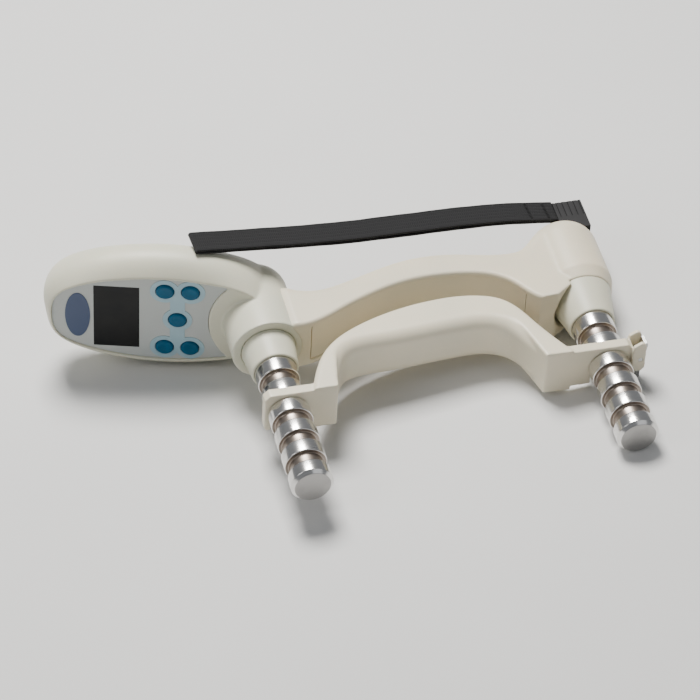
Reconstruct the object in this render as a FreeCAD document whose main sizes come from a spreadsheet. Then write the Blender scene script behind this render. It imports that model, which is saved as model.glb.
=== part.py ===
"""Hand dynamometer, lying on its side as it is stored.

The grip axis runs along X from the display head (-X) to the lower boss (+X).
Two grooved posts point towards -Y, and the adjustable handle sits in their second grooves.
Every sub-part is drawn in the instrument's own frame, whose origin is on the upper post's
axis at the end of its collar.  One common placement then lays the instrument down.
"""
import FreeCAD
import Part
import math
import os

App = FreeCAD
V = App.Vector

doc = App.newDocument("hand_dynamometer")
sheet = doc.addObject("Spreadsheet::Sheet", "sizes")

DIMENSIONS = {
    # posts
    "post_spacing": 146.0, "post_radius": 9.5, "groove_radius": 7.6, "groove_pitch": 12.7,
    "groove_width": 5.6, "first_groove": 10.3, "post_reach": 71.5, "post_tip_chamfer": 1.6,
    "root_radius": 7.0, "root_depth": 24.0, "stud_radius": 4.0, "stud_depth": 38.0,
    # bosses and collars
    "boss_radius": 16.5, "boss_back": 59.6, "boss_dome": 10.5, "boss_wall": 2.6,
    "upper_boss_end": 14.0, "lower_boss_end": 18.0, "lower_boss_rim": 14.4,
    "upper_collar_wide": 12.3, "lower_collar_wide": 14.1, "collar_narrow": 10.5,
    "collar_bore": 9.55, "collar_spigot": 4.0,
    # head, in the frame of its face
    "head_lean": 15.9, "face_offset": 29.8, "head_depth": 24.0, "head_wall": 2.4,
    "fascia_thick": 1.8, "fascia_sink": 1.0, "fascia_gap": 0.15, "fascia_boss_gap": 23.6,
    "fascia_ledge": 1.2, "neck_gap": 0.3,
    "window_width": 36.6, "window_length": 20.5, "window_centre": 64.6, "window_thick": 1.0,
    "button_radius": 4.1, "button_gap": 0.25, "button_stand": 1.2, "button_travel": 0.8,
    "button_flange": 4.8, "flange_thick": 1.0, "button_side": 17.0, "button_row_far": 43.0,
    "button_row_near": 31.6, "button_row_mid": 37.3, "film_thick": 0.25, "halo_ring": 6.6,
    "badge_centre": 82.0, "badge_long": 13.2, "badge_short": 5.6,
    "board_depth": 7.6, "board_thick": 1.6, "mat_thick": 1.2, "wire_radius": 1.1,
    "hatch_width": 28.0, "hatch_length": 46.0, "hatch_centre": 54.0, "hatch_thick": 2.0,
    "cell_radius": 5.2, "cell_length": 44.5, "cell_pitch": 11.6,
    # fixed handle
    "grip_half": 13.5, "channel_half": 10.6, "grip_wall": 2.3, "cover_thick": 2.2, "cover_inset": 1.1,
    "beam_half": 6.0, "beam_thick": 5.0, "beam_level": 26.5, "eye_radius": 9.0,
    # adjustable handle
    "handle_half": 12.0, "fork_half": 10.8, "fork_foot": 9.8, "fork_thick": 5.0, "fork_slot": 7.95,
    "clip_pin_radius": 1.0, "clip_pin_rise": 3.0,
    # wrist strap and its anchor
    "strap_width": 12.7, "strap_thick": 2.6, "anchor_width": 13.5, "anchor_depth": 18.6,
    "anchor_high": 11.6, "anchor_low": -1.4, "anchor_back": 73.0, "rib_pitch": 2.7, "rib_deep": 0.8,
    "screw_radius": 1.5, "screw_side": 3.5, "screw_rise": 3.0,
    # how the instrument lies: roll about Y, pitch about X, and where its origin comes to
    "lie_roll": 4.287, "lie_pitch": 4.268, "lie_x": -36.095, "lie_y": -2.863, "lie_z": 25.552,
}
for row, (alias, size) in enumerate(DIMENSIONS.items(), start=1):
    sheet.set(f"A{row}", alias)
    sheet.set(f"B{row}", str(size))
    sheet.setAlias(f"B{row}", alias)
doc.recompute()


def size(alias):
    return float(sheet.get(alias))


def bind(feature, prop, formula):
    """Bind a property to the sheet; names in the formula are the sheet's aliases."""
    words = formula.replace("(", " ( ").replace(")", " ) ").split()
    feature.setExpression(prop, " ".join("sizes." + w if w in DIMENSIONS else w for w in words))


# ---------------------------------------------------------------- placements
POSE = App.Placement(
    V(size("lie_x"), size("lie_y"), size("lie_z")),
    App.Rotation(V(1, 0, 0), size("lie_pitch")) * App.Rotation(V(0, 1, 0), size("lie_roll")))
LEAN = math.radians(size("head_lean"))
# the head's frame: x across the face (instrument +Z), y along the head to its tip, z out of the face
HEAD = App.Placement(
    V(0, size("face_offset"), 0),
    App.Rotation(V(0, 0, 1), V(-math.cos(LEAN), math.sin(LEAN), 0),
                 V(-math.sin(LEAN), -math.cos(LEAN), 0), "XYZ"))
# the fascia's own frame lies a little behind the head's rim
FACE = HEAD.multiply(App.Placement(V(0, 0, -size("fascia_sink")), App.Rotation()))
LOWER = App.Placement(V(size("post_spacing"), 0, 0), App.Rotation())
NODES = []


def keep(feature, local=None):
    """Lay a finished sub-part down in the common pose and list it for export."""
    feature.Placement = POSE if local is None else POSE.multiply(local)
    NODES.append(feature)
    return feature


# ---------------------------------------------------------------- sketch helpers
def lifted(height, x=0.0):
    """An offset along a sketch plane's normal, and along its X."""
    return App.Placement(V(x, 0, height), App.Rotation())


def new_body(label):
    body = doc.addObject("PartDesign::Body", label)
    body.Label = label
    return body


def sketch_on(body, role, offset=None):
    plane = next(f for f in body.Origin.OriginFeatures if f.Role == role)
    sketch = body.newObject("Sketcher::SketchObject", body.Name + "_sketch")
    sketch.AttachmentSupport = [(plane, "")]
    sketch.MapMode = "FlatFace"
    if offset is not None:
        sketch.AttachmentOffset = offset
    return sketch


def polyline(sketch, points, closed=True):
    corners = [V(x, y, 0) for x, y in points]
    ends = corners[1:] + (corners[:1] if closed else [])
    for start, end in zip(corners, ends):
        sketch.addGeometry(Part.LineSegment(start, end), False)


def spline(sketch, points, closed=False):
    curve = Part.BSplineCurve()
    curve.interpolate(Points=[V(x, y, 0) for x, y in points], PeriodicFlag=closed)
    sketch.addGeometry(curve, False)


def circle(sketch, x, y, radius):
    sketch.addGeometry(Part.Circle(V(x, y, 0), V(0, 0, 1), radius), False)


def rectangle(sketch, x, y, width, height):
    left, right, low, high = x - width / 2, x + width / 2, y - height / 2, y + height / 2
    polyline(sketch, [(left, low), (right, low), (right, high), (left, high)])


def pad(body, sketch, formula, midplane=False, reverse=False):
    feature = body.newObject("PartDesign::Pad", body.Name + "_pad")
    feature.Profile = sketch
    bind(feature, "Length", formula)
    feature.Midplane = midplane
    feature.Reversed = reverse
    feature.Refine = False
    doc.recompute()
    return feature


def pocket(body, sketch, formula, midplane=False, reverse=False):
    before = body.Shape.Volume
    feature = body.newObject("PartDesign::Pocket", body.Name + "_pocket")
    feature.Profile = sketch
    bind(feature, "Length", formula)
    feature.Midplane = midplane
    feature.Reversed = reverse
    feature.Refine = False
    doc.recompute()
    if body.Shape.Volume > before - 0.01:
        raise RuntimeError(feature.Name + " cut nothing")
    return feature


def turn(body, sketch, cut=False):
    """Revolve a profile about the sketch's own vertical axis."""
    kind = "PartDesign::Groove" if cut else "PartDesign::Revolution"
    feature = body.newObject(kind, body.Name + ("_groove" if cut else "_turn"))
    feature.Profile = sketch
    feature.ReferenceAxis = (sketch, ["V_Axis"])
    feature.Angle = 360.0
    feature.Refine = False
    doc.recompute()
    return feature


def soften(body, radius_formula, wanted, chamfer=False):
    """Fillet or chamfer the edges of the body's tip for which wanted(edge) is true."""
    tip = body.Tip
    names = [f"Edge{i}" for i, e in enumerate(tip.Shape.Edges, start=1) if wanted(e)]
    kind = "PartDesign::Chamfer" if chamfer else "PartDesign::Fillet"
    feature = body.newObject(kind, body.Name + "_edge")
    feature.Base = (tip, names)
    bind(feature, "Size" if chamfer else "Radius", radius_formula)
    feature.Refine = False
    doc.recompute()
    if feature.Shape.isNull() or not feature.Shape.isValid() or "Invalid" in feature.State:
        body.removeObject(feature)
        doc.removeObject(feature.Name)
        body.Tip = tip
        doc.recompute()
        print("edge treatment left out on", body.Label, radius_formula)
        return tip
    return feature


def loft(body, outlines, cut=False):
    """Loft between closed outlines given as (level, points) in the head's frame."""
    sketches = []
    for level, points in outlines:
        sketch = sketch_on(body, "XY_Plane", HEAD.multiply(lifted(level)))
        spline(sketch, points, closed=True)
        sketches.append(sketch)
    kind = "PartDesign::SubtractiveLoft" if cut else "PartDesign::AdditiveLoft"
    feature = body.newObject(kind, body.Name + ("_hollow" if cut else "_shell"))
    feature.Profile = sketches[0]
    feature.Sections = sketches[1:]
    feature.Refine = False
    doc.recompute()
    return feature


def solid(label, shape, local=None):
    feature = doc.addObject("Part::Feature", label)
    feature.Label = label
    feature.Shape = shape
    return keep(feature, local)


def slab(width, length, thick, along, top, across=0.0):
    """A box in the head's frame, centred on (across, along), with its upper face at top."""
    return Part.makeBox(width, length, thick, V(across - width / 2, along - length / 2, top - thick))


def offset_curve(points, distance):
    """Shift an open run of points sideways, to the left of its direction."""
    shifted = []
    for i, (x, y) in enumerate(points):
        ax, ay = points[max(i - 1, 0)]
        bx, by = points[min(i + 1, len(points) - 1)]
        length = math.hypot(bx - ax, by - ay)
        shifted.append((x - distance * (by - ay) / length, y + distance * (bx - ax) / length))
    return shifted


def clip_run(points, low, high):
    """The part of a run of points between two x values, with new end points on its chords."""
    def at(x):
        for (ax, ay), (bx, by) in zip(points, points[1:]):
            if ax <= x <= bx:
                return (x, ay + (by - ay) * (x - ax) / (bx - ax))
    return [at(low)] + [p for p in points if low + 1 < p[0] < high - 1] + [at(high)]


# ---------------------------------------------------------------- outline of the head
# half the face's outline, from its tip to its foot: (half width, distance along the head)
FACE_HALF = [(12.5, 90.8), (19.6, 79.5), (23.9, 62.0), (25.4, 45.0), (23.8, 24.0), (17.5, 4.0)]
FACE_TIP, FACE_FOOT = 94.6, -7.0
SIDE_BULGE = [3.6, 4.6, 5.9, 6.35, 5.6, 0.6]


def head_outline(grow, shrink=0.0):
    """The head's outline: grow 0 is the face's edge, 1 the widest line; shrink is in mm."""
    right = []
    for (half, along), bulge in zip(FACE_HALF, SIDE_BULGE):
        tipward = (along - 40.0) / 55.0
        right.append((half + grow * bulge - shrink, along + (grow * 2.6 - shrink) * tipward))
    tip = (0.0, FACE_TIP + grow * 3.0 - shrink)
    foot = (0.0, FACE_FOOT + shrink)
    return [tip] + right + [foot] + [(-x, y) for x, y in reversed(right)]


def boss_side(sketch, front, gap=0.0):
    """A boss's half profile: the front points given, then its side and its domed back."""
    radius, dome = size("boss_radius"), size("boss_dome")
    shoulder, end = size("boss_back") - dome, size("boss_back") + gap
    middle = (dome + gap) * math.sin(math.radians(45))
    polyline(sketch, [(0, end)] + front + [(radius + gap, shoulder)], closed=False)
    sketch.addGeometry(Part.Arc(V(radius + gap, shoulder, 0),
                                V(radius - dome + middle, shoulder + middle, 0),
                                V(radius - dome, end, 0)), False)
    polyline(sketch, [(radius - dome, end), (0, end)], closed=False)


def hollow_boss(body, local, front, floor, seat_radius):
    """Cut a boss's bore (a neck for the post's root, then room for its nut) and its collar's seat."""
    wall, dome = size("boss_wall"), size("boss_dome")
    neck, inner = size("root_radius") + size("neck_gap"), size("boss_radius") - wall
    shoulder, end = size("boss_back") - dome, size("boss_back") - wall
    bore = sketch_on(body, "XY_Plane", local)
    polyline(bore, [(0, front - 1), (neck, front - 1), (neck, floor), (inner, floor),
                    (inner, shoulder), (inner - dome + 1.5, end), (0, end)])
    turn(body, bore, cut=True)
    seat = sketch_on(body, "XY_Plane", local)
    deep = front + size("collar_spigot")
    polyline(seat, [(0, front - 1), (seat_radius, front - 1), (seat_radius, deep), (0, deep)])
    turn(body, seat, cut=True)


# the head's shell from its face to its back: (share of the depth, growth of the outline)
SHELL_LEVELS = [(0.0, 0.0), (0.083, 0.36), (0.354, 1.0), (0.66, 0.86), (0.88, 0.25), (1.0, -0.85)]


def build_head():
    """The display head with the upper boss: one hollow moulding, open at its face."""
    depth, wall, radius = size("head_depth"), size("head_wall"), size("boss_radius")
    front, sunk = size("upper_boss_end"), size("fascia_thick") + size("fascia_sink")
    body = new_body("head_housing")
    loft(body, [(-depth * share, head_outline(grow)) for share, grow in SHELL_LEVELS])
    boss = sketch_on(body, "XY_Plane")
    boss_side(boss, [(0, front), (radius, front)])
    turn(body, boss)
    neck_saddle(body)
    # the space inside the head, and the mouth that the fascia closes
    hollow = [(-depth * share, head_outline(grow, wall)) for share, grow in ((0.354, 1.0), (0.66, 0.84))]
    loft(body, [(-sunk - 0.8, head_outline(0.2, wall))] + hollow
         + [(-depth + wall, head_outline(-0.1, wall + 0.6))], cut=True)
    mouth = sketch_on(body, "XY_Plane", HEAD)
    fascia_outline(mouth, size("fascia_gap"), size("fascia_boss_gap") - 0.25)
    pocket(body, mouth, "fascia_thick + fascia_sink")
    opening = sketch_on(body, "XY_Plane", HEAD)
    fascia_outline(opening, -size("fascia_ledge"), size("fascia_boss_gap") + size("fascia_ledge"))
    pocket(body, opening, "fascia_thick + fascia_sink + fascia_ledge")
    hollow_boss(body, None, front, size("root_depth") - 3.5, size("upper_collar_wide") + 0.05)
    beam_way = sketch_on(body, "YZ_Plane")
    rectangle(beam_way, size("beam_level") + 2.2, 0, 14.0, 2 * size("channel_half") - 0.6)
    pocket(body, beam_way, "boss_radius + 3", reverse=True)
    hatch = sketch_on(body, "XY_Plane", HEAD.multiply(lifted(-depth - 1)))
    rectangle(hatch, 0, size("hatch_centre"), size("hatch_width"), size("hatch_length"))
    pocket(body, hatch, "head_wall + 4", reverse=True)
    return keep(body)


# the neck's cross-sections: (place along the grip, back, half height)
NECK = [(-36.0, 64.4, 20.0), (-18.0, 62.0, 18.6), (0.0, 59.3, 15.6), (8.0, 55.6, 12.4)]
NECK_HALF_DEPTH, NECK_SQUARENESS = 10.0, 0.7


def neck_saddle(body):
    """Blend the head's back into the boss's domed back with a loft across the neck."""
    sketches = []
    for x, back, half in NECK:
        points = []
        for step in range(12):
            c, s = math.cos(math.radians(30 * step)), math.sin(math.radians(30 * step))
            deep = math.copysign(NECK_HALF_DEPTH * abs(c) ** NECK_SQUARENESS, c)
            points.append((back - NECK_HALF_DEPTH + deep,
                           math.copysign(half * abs(s) ** NECK_SQUARENESS, s)))
        sketch = sketch_on(body, "YZ_Plane", lifted(x))
        spline(sketch, points, closed=True)
        sketches.append(sketch)
    saddle = body.newObject("PartDesign::AdditiveLoft", "neck_saddle")
    saddle.Profile = sketches[0]
    saddle.Sections = sketches[1:]
    saddle.Refine = False
    doc.recompute()


def fascia_outline(sketch, clearance, boss_gap):
    """The face's outline, closed at its foot by an arc about the upper post."""
    inset = 1.1 - clearance
    half = [(x - inset, y) for x, y in FACE_HALF[:-1]]
    tip = (0.0, FACE_TIP - inset)
    foot_side = (FACE_HALF[-2][0] - inset - 1.6, boss_gap * 0.62)
    run = [(-foot_side[0], foot_side[1])] + [(-x, y) for x, y in reversed(half)] + [tip]
    run += half + [foot_side]
    spline(sketch, run)
    # the arc bows towards the display, around the boss
    sketch.addGeometry(Part.Arc(V(foot_side[0], foot_side[1], 0), V(0, boss_gap, 0),
                                V(-foot_side[0], foot_side[1], 0)), False)


BUTTONS = [("button_upper_left", -1, "button_row_far"), ("button_lower_left", -1, "button_row_near"),
           ("button_centre", 0, "button_row_mid"), ("button_upper_right", 1, "button_row_far"),
           ("button_lower_right", 1, "button_row_near")]


def button_places():
    for label, side, along in BUTTONS:
        yield label, side * size("button_side"), size(along)


def build_fascia():
    thick = size("fascia_thick")
    body = new_body("head_fascia")
    outline = sketch_on(body, "XY_Plane")
    fascia_outline(outline, 0.0, size("fascia_boss_gap"))
    pad(body, outline, "fascia_thick", reverse=True)
    window = sketch_on(body, "XY_Plane")
    rectangle(window, 0, size("window_centre"), size("window_width"), size("window_length"))
    pocket(body, window, "window_thick")
    view = sketch_on(body, "XY_Plane")
    rectangle(view, 0, size("window_centre"), size("window_width") - 4, size("window_length") - 4)
    pocket(body, view, "fascia_thick")
    holes = sketch_on(body, "XY_Plane")
    for _, across, along in button_places():
        circle(holes, across, along, size("button_radius") + size("button_gap"))
    pocket(body, holes, "fascia_thick")
    keep(body, FACE)

    lens = new_body("lcd_window")
    face = sketch_on(lens, "XY_Plane")
    rectangle(face, 0, size("window_centre"), size("window_width"), size("window_length"))
    pad(lens, face, "window_thick", reverse=True)
    keep(lens, FACE)

    # thin printed films on the fascia: the field around the buttons and a plain oval
    film, ring = size("film_thick"), size("halo_ring")
    halo = slab(2 * size("button_side"), ring, film, size("button_row_mid"), film)
    for _, across, along in button_places():
        halo = halo.fuse(Part.makeCylinder(ring, film, V(across, along, 0)))
    halo = halo.removeSplitter()
    for _, across, along in button_places():
        halo = halo.cut(Part.makeCylinder(size("button_radius") + size("button_gap"), film,
                                          V(across, along, 0)))
    solid("keypad_halo", halo, FACE)
    oval = Part.Ellipse(V(0, size("badge_centre"), 0), size("badge_long"), size("badge_short"))
    badge = Part.Face(Part.Wire(oval.toShape())).extrude(V(0, 0, film))
    solid("badge_inlay", badge, FACE)


def build_buttons():
    stand, thick = size("button_stand"), size("fascia_thick")
    for label, across, along in button_places():
        cap = new_body(label)
        profile = sketch_on(cap, "XZ_Plane")
        radius, flange = size("button_radius"), size("button_flange")
        under, low = -thick - 0.1, -thick - 0.1 - size("flange_thick")
        polyline(profile, [(radius - 0.9, stand), (0, stand + 0.25), (0, low), (flange, low),
                           (flange, under), (radius, under), (radius, stand - 0.7)], closed=False)
        profile.addGeometry(Part.Arc(V(radius, stand - 0.7, 0), V(radius - 0.25, stand - 0.18, 0),
                                     V(radius - 0.9, stand, 0)), False)
        turn(cap, profile)
        keep(cap, FACE.multiply(App.Placement(V(across, along, 0), App.Rotation())))


def build_head_inside():
    """What the head holds: display module, keypad mat, board, buzzer, cells and contacts."""
    thick, window, row = size("fascia_thick"), size("window_centre"), size("button_row_mid")
    module = slab(36.0, 23.0, 2.6, window, -thick - 0.3).cut(slab(31.0, 15.0, 0.5, window, -thick - 0.3))
    solid("lcd_module", module, FACE)
    mat_top = -thick - size("flange_thick") - size("button_travel") - 0.25
    solid("keypad_mat", slab(43.0, 22.0, size("mat_thick"), row + 1, mat_top), FACE)
    board_top, board_low = -size("board_depth"), -size("board_depth") - size("board_thick")
    corners = [(-21, 25), (21, 25), (24, 34), (24, 66), (16, 80), (-16, 80), (-24, 66), (-24, 34)]
    outline = Part.makePolygon([V(x, y, board_low) for x, y in corners + corners[:1]])
    board = Part.Face(outline).extrude(V(0, 0, size("board_thick")))
    screws = []
    for across, along in ((-19.0, 28.5), (19.0, 28.5), (-14.0, 76.5), (14.0, 76.5)):
        board = board.cut(Part.makeCylinder(1.15, 4.0, V(across, along, board_top - 3)))
        shank = Part.makeCylinder(1.0, 5.0, V(across, along, board_top - 5))
        head = Part.makeCylinder(1.9, 1.1, V(across, along, board_top))
        slot = slab(2.4, 0.5, 0.6, along, board_top + 1.3, across)
        screws.append(shank.fuse(head).cut(slot))
    solid("main_board", board, HEAD)
    solid("board_screws", Part.makeCompound(screws), HEAD)
    sounder = V(17.6, 56.0, board_low - 3.4)
    vent = Part.makeCylinder(0.9, 1.0, sounder)
    solid("buzzer", Part.makeCylinder(4.6, 3.4, sounder).cut(vent), HEAD)
    # two cells side by side along the head, behind the board
    level = -size("head_depth") + size("head_wall") + 0.5 + size("cell_radius")
    nub_length = 1.2
    start = size("hatch_centre") - size("cell_length") / 2
    end = start + size("cell_length")
    cells, contacts = [], []
    for across in (-size("cell_pitch") / 2, size("cell_pitch") / 2):
        can = Part.makeCylinder(size("cell_radius"), size("cell_length") - nub_length,
                                V(across, start, level), V(0, 1, 0))
        nub = Part.makeCylinder(1.9, nub_length, V(across, end - nub_length, level), V(0, 1, 0))
        cells.append(can.fuse(nub))
        contacts.append(slab(8.0, 0.5, 8.0, end + 0.3, level + 4, across))
        contacts.append(Part.makeCone(4.0, 2.2, 1.4, V(across, start - 1.5, level), V(0, 1, 0)))
    solid("battery_cells", Part.makeCompound(cells), HEAD)
    solid("battery_contacts", Part.makeCompound(contacts), HEAD)


def build_battery_cover():
    """The plate that closes the battery bay, with a ribbed patch for the thumb."""
    gap, outside = 0.3, lifted(-size("head_depth"))
    cover = new_body("battery_cover")
    plate = sketch_on(cover, "XY_Plane", outside)
    rectangle(plate, 0, size("hatch_centre"), size("hatch_width") - 2 * gap,
              size("hatch_length") - 2 * gap)
    pad(cover, plate, "hatch_thick")
    soften(cover, "hatch_thick", lambda e: e.Curve.TypeId == "Part::GeomLine"
           and abs(e.Vertexes[0].Z - e.Vertexes[-1].Z) > 1.0)
    ribs = sketch_on(cover, "XY_Plane", outside)
    for step in range(5):
        rectangle(ribs, 0, size("hatch_centre") - 19.0 + 1.8 * step, 14.0, 0.8)
    pocket(cover, ribs, "hatch_thick * 0.3", reverse=True)
    keep(cover, HEAD)


# ---------------------------------------------------------------- posts, collars, load beam
def build_post(label, local):
    body = new_body(label)
    profile = sketch_on(body, "XY_Plane")
    radius, groove = size("post_radius"), size("groove_radius")
    half, chamfer, reach = size("groove_width") / 2, size("post_tip_chamfer"), size("post_reach")
    points = [(0, -reach), (radius - chamfer, -reach), (radius, -reach + chamfer)]
    for step in reversed(range(5)):
        centre = -size("first_groove") - step * size("groove_pitch")
        points += [(radius, centre - half), (groove, centre - half), (groove, centre + half),
                   (radius, centre + half)]
    points += [(radius, 6.0), (size("root_radius"), 6.0), (size("root_radius"), size("root_depth")),
               (size("stud_radius"), size("root_depth")), (size("stud_radius"), size("stud_depth")),
               (0, size("stud_depth"))]
    polyline(profile, points)
    turn(body, profile)
    soften(body, "post_tip_chamfer * 0.3", lambda e: e.Curve.TypeId == "Part::GeomCircle"
           and abs(e.Curve.Radius - radius) < 0.01 and e.BoundBox.YMax < 0.5)
    keep(body, local)


def build_collar(label, local, wide, boss_end, spigot_radius):
    """A tapered ring that closes the boss around its post."""
    body = new_body(label)
    profile = sketch_on(body, "XY_Plane")
    bore, narrow, root = size("collar_bore"), size("collar_narrow"), size("root_radius") + 0.4
    spigot = boss_end + size("collar_spigot") - 0.2
    polyline(profile, [(bore, 0.0), (narrow, 0.0), (narrow + 0.25, 0.9), (wide - 0.1, boss_end - 0.4),
                       (wide, boss_end - 0.05), (spigot_radius, boss_end - 0.05),
                       (spigot_radius, spigot), (root, spigot), (root, 8.7), (bore, 8.7)])
    turn(body, profile)
    keep(body, local)


def beam_line():
    """The load beam's centre line, which follows the fixed handle's arch."""
    level, spacing = size("beam_level"), size("post_spacing")
    return [(20.0, level), (31.0, level + 1.4), (45.0, level + 6.0), (60.0, level + 11.0),
            (77.0, level + 13.9), (92.0, level + 13.2), (104.0, level + 10.3), (114.0, level + 5.2),
            (122.0, level + 1.4), (spacing - 17.0, level)]


GAUGE_PLACES = (66.0, 88.0)
NUT_CORNER, NUT_HEIGHT = 7.2, 6.5


def build_beam():
    """The load beam that joins the posts, its gauges, nuts and seals."""
    spacing, level = size("post_spacing"), size("beam_level")
    thick, half = size("beam_thick"), size("beam_half")
    line = beam_line()
    upper, lower = offset_curve(line, thick / 2), offset_curve(line, -thick / 2)
    bar = new_body("load_beam")
    outline = sketch_on(bar, "XY_Plane")
    spline(outline, upper)
    spline(outline, lower)
    polyline(outline, [upper[0], (0, level + thick / 2), (0, level - thick / 2), lower[0]],
             closed=False)
    polyline(outline, [upper[-1], (spacing, level + thick / 2), (spacing, level - thick / 2),
                       lower[-1]], closed=False)
    pad(bar, outline, "2 * beam_half", midplane=True)
    for local in (App.Placement(), LOWER):
        eye = sketch_on(bar, "XZ_Plane", lifted(-level - thick / 2, local.Base.x))
        circle(eye, 0, 0, size("eye_radius"))
        pad(bar, eye, "beam_thick")
    for local in (App.Placement(), LOWER):
        hole = sketch_on(bar, "XZ_Plane", lifted(-level - thick, local.Base.x))
        circle(hole, 0, 0, size("stud_radius") + 0.05)
        pocket(bar, hole, "2 * beam_thick", reverse=True)
    # two windows thin the beam where the gauges read its strain
    windows = sketch_on(bar, "XZ_Plane")
    for centre in GAUGE_PLACES:
        rectangle(windows, centre, 0, 9.0, 5.0)
    pocket(bar, windows, "post_spacing", midplane=True)
    keep(bar)
    pads = [Part.makeBox(8.0, 3.0, 0.3, V(centre - 4, level + 11.2, side * (half + 0.15) - 0.15))
            for centre in GAUGE_PLACES for side in (-1, 1)]
    solid("strain_gauges", Part.makeCompound(pads))
    nuts, seals = [], []
    for x in (0.0, spacing):
        turns = [math.radians(60 * k) for k in range(7)]
        hexagon = Part.makePolygon([V(x + NUT_CORNER * math.cos(a), level + thick / 2,
                                      NUT_CORNER * math.sin(a)) for a in turns])
        thread = Part.makeCylinder(size("stud_radius") + 0.05, 20.0, V(x, level, 0), V(0, 1, 0))
        nuts.append(Part.Face(hexagon).extrude(V(0, NUT_HEIGHT, 0)).cut(thread))
        seals.append(Part.makeTorus(size("root_radius") + 1.35, 0.95, V(x, 7.45, 0), V(0, 1, 0)))
    solid("post_nuts", Part.makeCompound(nuts))
    solid("collar_seals", Part.makeCompound(seals))


# ---------------------------------------------------------------- fixed handle
GRIP_BACK = [(9.0, 46.5), (12.6, 41.6), (18.5, 37.8), (27.0, 36.2), (38.0, 38.2), (50.0, 42.0),
             (64.0, 46.2), (78.0, 48.0), (92.0, 47.0), (104.0, 44.4), (115.0, 42.6), (122.5, 43.4),
             (129.0, 49.0), (134.0, 54.0)]
GRIP_FRONT = [(9.0, 14.5), (19.0, 14.0), (29.0, 17.6), (37.0, 21.6), (46.0, 25.6), (57.0, 29.6),
              (68.0, 32.2), (78.0, 33.0), (89.0, 32.6), (98.0, 31.2), (107.0, 28.0), (114.0, 22.4),
              (119.5, 14.6), (124.0, 9.6)]


def build_fixed_handle():
    """The arched handle with the lower boss, and the channel that hides the load beam."""
    spacing, radius = size("post_spacing"), size("boss_radius")
    body = new_body("fixed_handle")
    plan = sketch_on(body, "XY_Plane")
    spline(plan, GRIP_BACK)
    spline(plan, GRIP_FRONT)
    polyline(plan, [GRIP_FRONT[0], GRIP_BACK[0]], closed=False)
    polyline(plan, [GRIP_BACK[-1], (spacing, GRIP_BACK[-1][1]), (spacing, 20.0), (spacing - 14, 9.9),
                    GRIP_FRONT[-1]], closed=False)
    pad(body, plan, "2 * grip_half", midplane=True)
    soften(body, "grip_half * 0.33", lambda e: abs(abs(e.BoundBox.ZMin) - size("grip_half")) < 0.01
           and e.BoundBox.ZLength < 0.01 and e.BoundBox.XLength > 60 and e.BoundBox.YMax < 56
           and e.valueAt((e.FirstParameter + e.LastParameter) / 2).y > 40)
    soften(body, "grip_half * 0.12", lambda e: abs(abs(e.BoundBox.ZMin) - size("grip_half")) < 0.01
           and e.BoundBox.ZLength < 0.01 and e.BoundBox.XLength > 60 and e.BoundBox.YMax < 36)
    boss = sketch_on(body, "XY_Plane", LOWER)
    front, rim = size("lower_boss_end"), size("lower_boss_rim")
    boss_side(boss, [(0, front), (rim, front), (radius, front + 6.0)])
    turn(body, boss)
    # the handle's end fits round the upper boss
    scoop = sketch_on(body, "XZ_Plane", lifted(-30))
    circle(scoop, 0, 0, radius + 0.05)
    pocket(body, scoop, "boss_back + 30", midplane=True)
    # clear the collar's cone at the lower end
    cone = sketch_on(body, "XY_Plane", LOWER)
    polyline(cone, [(0, -5), (rim + 0.3, -5), (rim + 0.3, front), (0, front)])
    turn(body, cone, cut=True)
    # the channel for the beam is open towards the fingers
    inner_back = offset_curve(GRIP_BACK[2:-2], -size("grip_wall"))
    channel = sketch_on(body, "XY_Plane")
    spline(channel, inner_back)
    mouth = offset_curve(clip_run(GRIP_FRONT, 19.0, 119.5), -2.0)
    spline(channel, mouth)
    polyline(channel, [mouth[0], inner_back[0]], closed=False)
    polyline(channel, [inner_back[-1], (mouth[-1][0] + 8, inner_back[-1][1] - 10), mouth[-1]],
             closed=False)
    pocket(body, channel, "2 * channel_half", midplane=True)
    end_way = sketch_on(body, "YZ_Plane", lifted(26))
    rectangle(end_way, size("beam_level") + 2.4, 0, 13.2, 2 * size("channel_half") - 0.6)
    pocket(body, end_way, "post_spacing * 0.14")
    hollow_boss(body, LOWER, front, size("root_depth") - 0.3, size("lower_collar_wide") - 2.05)
    screw_hole = sketch_on(body, "XZ_Plane", lifted(-size("boss_back") - 2))
    circle(screw_hole, spacing + size("screw_side"), size("screw_rise"), size("screw_radius") + 0.05)
    pocket(body, screw_hole, "grip_wall * 4", reverse=True)
    beam_way = sketch_on(body, "YZ_Plane", lifted(spacing))
    rectangle(beam_way, size("beam_level"), 0, 8.0, 2 * size("eye_radius") + 1.0)
    pocket(body, beam_way, "post_spacing * 0.2")
    keep(body)

    # a slim cover closes the channel along the finger side, its lower end cut to the end wall
    cover = new_body("handle_front_cover")
    strip = sketch_on(cover, "XY_Plane")
    inset = size("cover_inset")
    near = offset_curve(clip_run(GRIP_FRONT, 20.5, 118.3), inset)
    far = offset_curve(clip_run(GRIP_FRONT, 20.5, 117.5), inset + size("cover_thick"))
    spline(strip, near)
    spline(strip, far)
    polyline(strip, [near[0], far[0]], closed=False)
    polyline(strip, [near[-1], far[-1]], closed=False)
    pad(cover, strip, "2 * channel_half - 0.3", midplane=True)
    keep(cover)


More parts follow.
